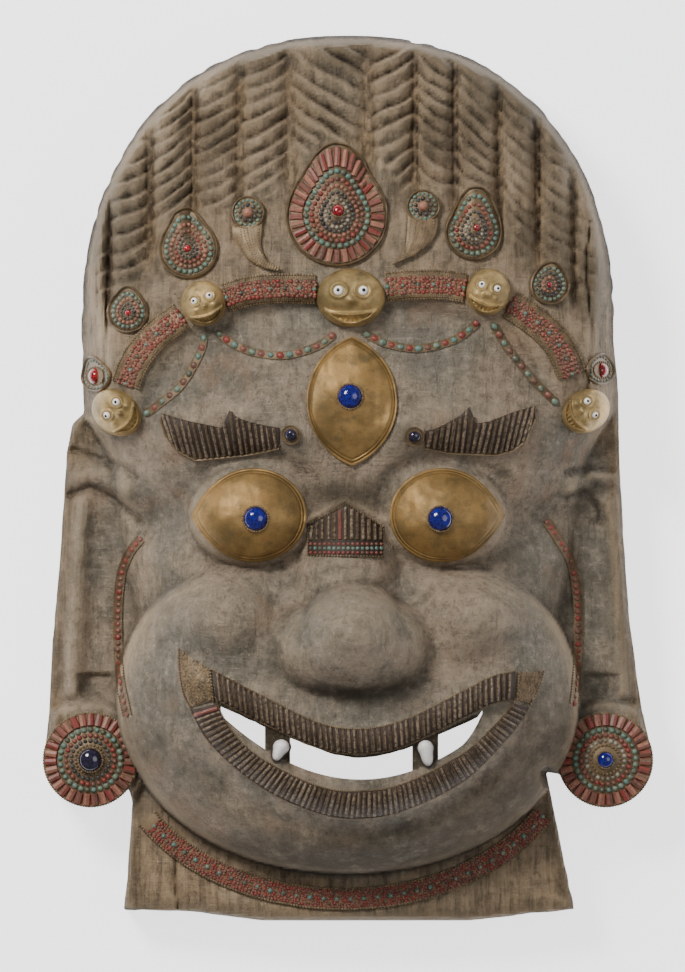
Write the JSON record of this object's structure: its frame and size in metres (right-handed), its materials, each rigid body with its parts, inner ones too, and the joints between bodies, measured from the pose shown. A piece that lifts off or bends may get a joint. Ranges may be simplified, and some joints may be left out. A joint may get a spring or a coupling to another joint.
{
  "type": "tibetan cham mask",
  "caption": "Carved wooden guardian mask, three-eyed and grinning, hollow behind, with brass, coral and glass ornaments laid on the hair, brow, lips, cheeks, ears and collar.",
  "frame": {"origin": "middle of the back plane that the mask lies on, at the centre of its overall box", "axes": "+X across the face towards the right of the picture, +Y from the neck to the top of the hair, +Z out of the face"},
  "size_m": [0.4289, 0.623, 0.184],
  "materials": {
    "wood": "dusty, worn paint over carved wood",
    "brass": "dull, patinated",
    "coral": "satin",
    "inlay": "dark glassy tubes in a bronze frame",
    "mosaic": "beads and chips set in granulated bronze",
    "glass": "polished, opaque blue",
    "fang": "polished white"
  },
  "bodies": {
    "root": {"carved_mask": "wood", "left_eye_plate": "brass", "left_eye_stone": "glass", "right_eye_plate": "brass", "right_eye_stone": "glass", "third_eye_plate": "brass", "third_eye_stone": "glass", "crown_skull_1": "brass", "crown_skull_2": "brass", "crown_skull_3": "brass", "crown_skull_4": "brass", "crown_skull_5": "brass", "crown_band_1": "mosaic", "crown_band_2": "mosaic", "crown_band_3": "mosaic", "crown_band_4": "mosaic", "left_inner_swag": "mosaic", "right_inner_swag": "mosaic", "left_outer_swag": "mosaic", "right_outer_swag": "mosaic", "crown_jewel_1": "mosaic", "crown_jewel_2": "mosaic", "crown_jewel_3": "mosaic", "crown_jewel_4": "mosaic", "crown_jewel_5": "mosaic", "crown_jewel_6": "mosaic", "crown_jewel_7": "mosaic", "left_hook_ornament": "mosaic", "right_hook_ornament": "mosaic", "left_eyebrow": "inlay", "right_eyebrow": "inlay", "left_brow_stone": "glass", "right_brow_stone": "glass", "bridge_ornament": "inlay", "upper_lip_band": "inlay", "lower_lip_band": "inlay", "left_lip_corner": "mosaic", "right_lip_corner": "mosaic", "left_fang": "fang", "right_fang": "fang", "left_cheek_strip": "coral", "right_cheek_strip": "coral", "collar_band": "mosaic", "left_ear_disc": "mosaic", "left_ear_stone": "glass", "right_ear_disc": "mosaic", "right_ear_stone": "glass"}
  },
  "joints": []
}
